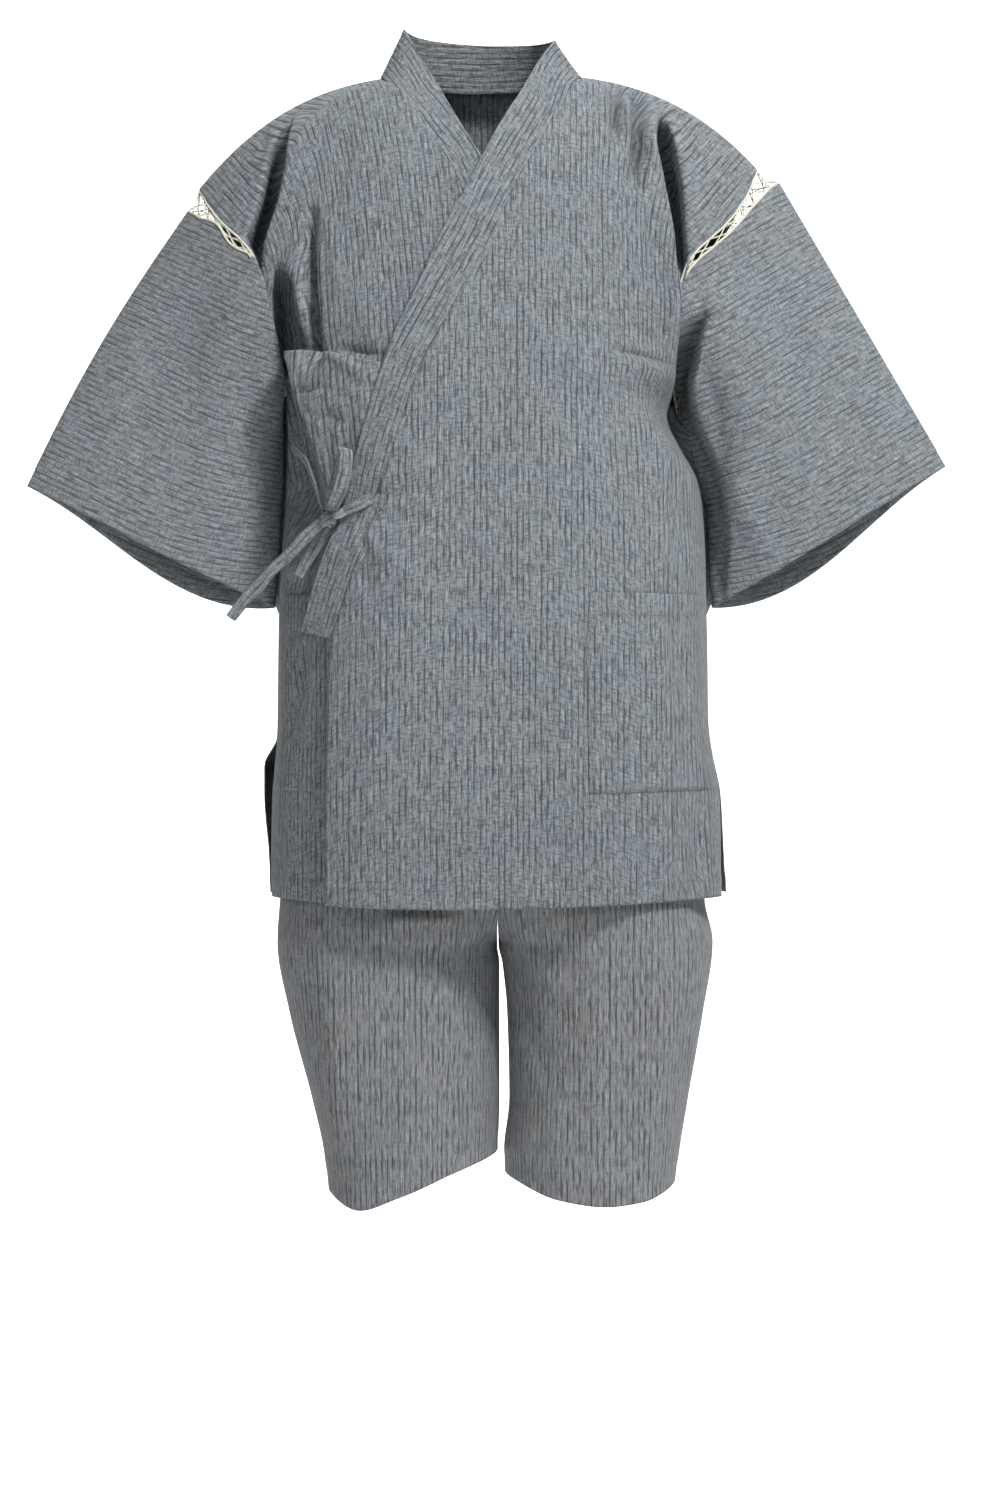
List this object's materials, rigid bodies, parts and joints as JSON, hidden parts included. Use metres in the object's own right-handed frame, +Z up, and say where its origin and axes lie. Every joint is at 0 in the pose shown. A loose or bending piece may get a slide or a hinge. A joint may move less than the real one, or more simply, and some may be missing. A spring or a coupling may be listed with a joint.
{
  "type": "jinbei set",
  "caption": "Wrap jacket with short wide sleeves, lace let in at the armholes and a tie at the side, over knee-length shorts, hollow as worn.",
  "frame": {"origin": "on the line of the shoulders, below the middle of the neck, where the wearer carries the jacket", "axes": "+Z up, -Y the way the wearer faces, +X the wearer's left"},
  "size_m": [0.8456, 0.276, 1.0777],
  "materials": {
    "blue_grey_cotton": "matt crinkled cotton with fine dark and pale streaks along the warp",
    "cream_lace": "matt cotton lace, pale cream"
  },
  "bodies": {
    "root": {"back": "blue_grey_cotton", "collar_band": "blue_grey_cotton", "front_left": "blue_grey_cotton", "front_right": "blue_grey_cotton", "sleeve_left": "blue_grey_cotton", "sleeve_right": "blue_grey_cotton", "pocket_left": "blue_grey_cotton", "pocket_right": "blue_grey_cotton", "shorts_front_left": "blue_grey_cotton", "shorts_front_right": "blue_grey_cotton", "shorts_back_left": "blue_grey_cotton", "shorts_back_right": "blue_grey_cotton", "shorts_waistband": "blue_grey_cotton", "tie_knot": "blue_grey_cotton", "tie_loop": "blue_grey_cotton", "tie_long_tail": "blue_grey_cotton", "tie_short_tail": "blue_grey_cotton", "tie_outer": "blue_grey_cotton", "tie_side": "blue_grey_cotton", "lace_left_front": "cream_lace", "lace_left_back": "cream_lace", "lace_right_front": "cream_lace", "lace_right_back": "cream_lace"}
  },
  "joints": []
}
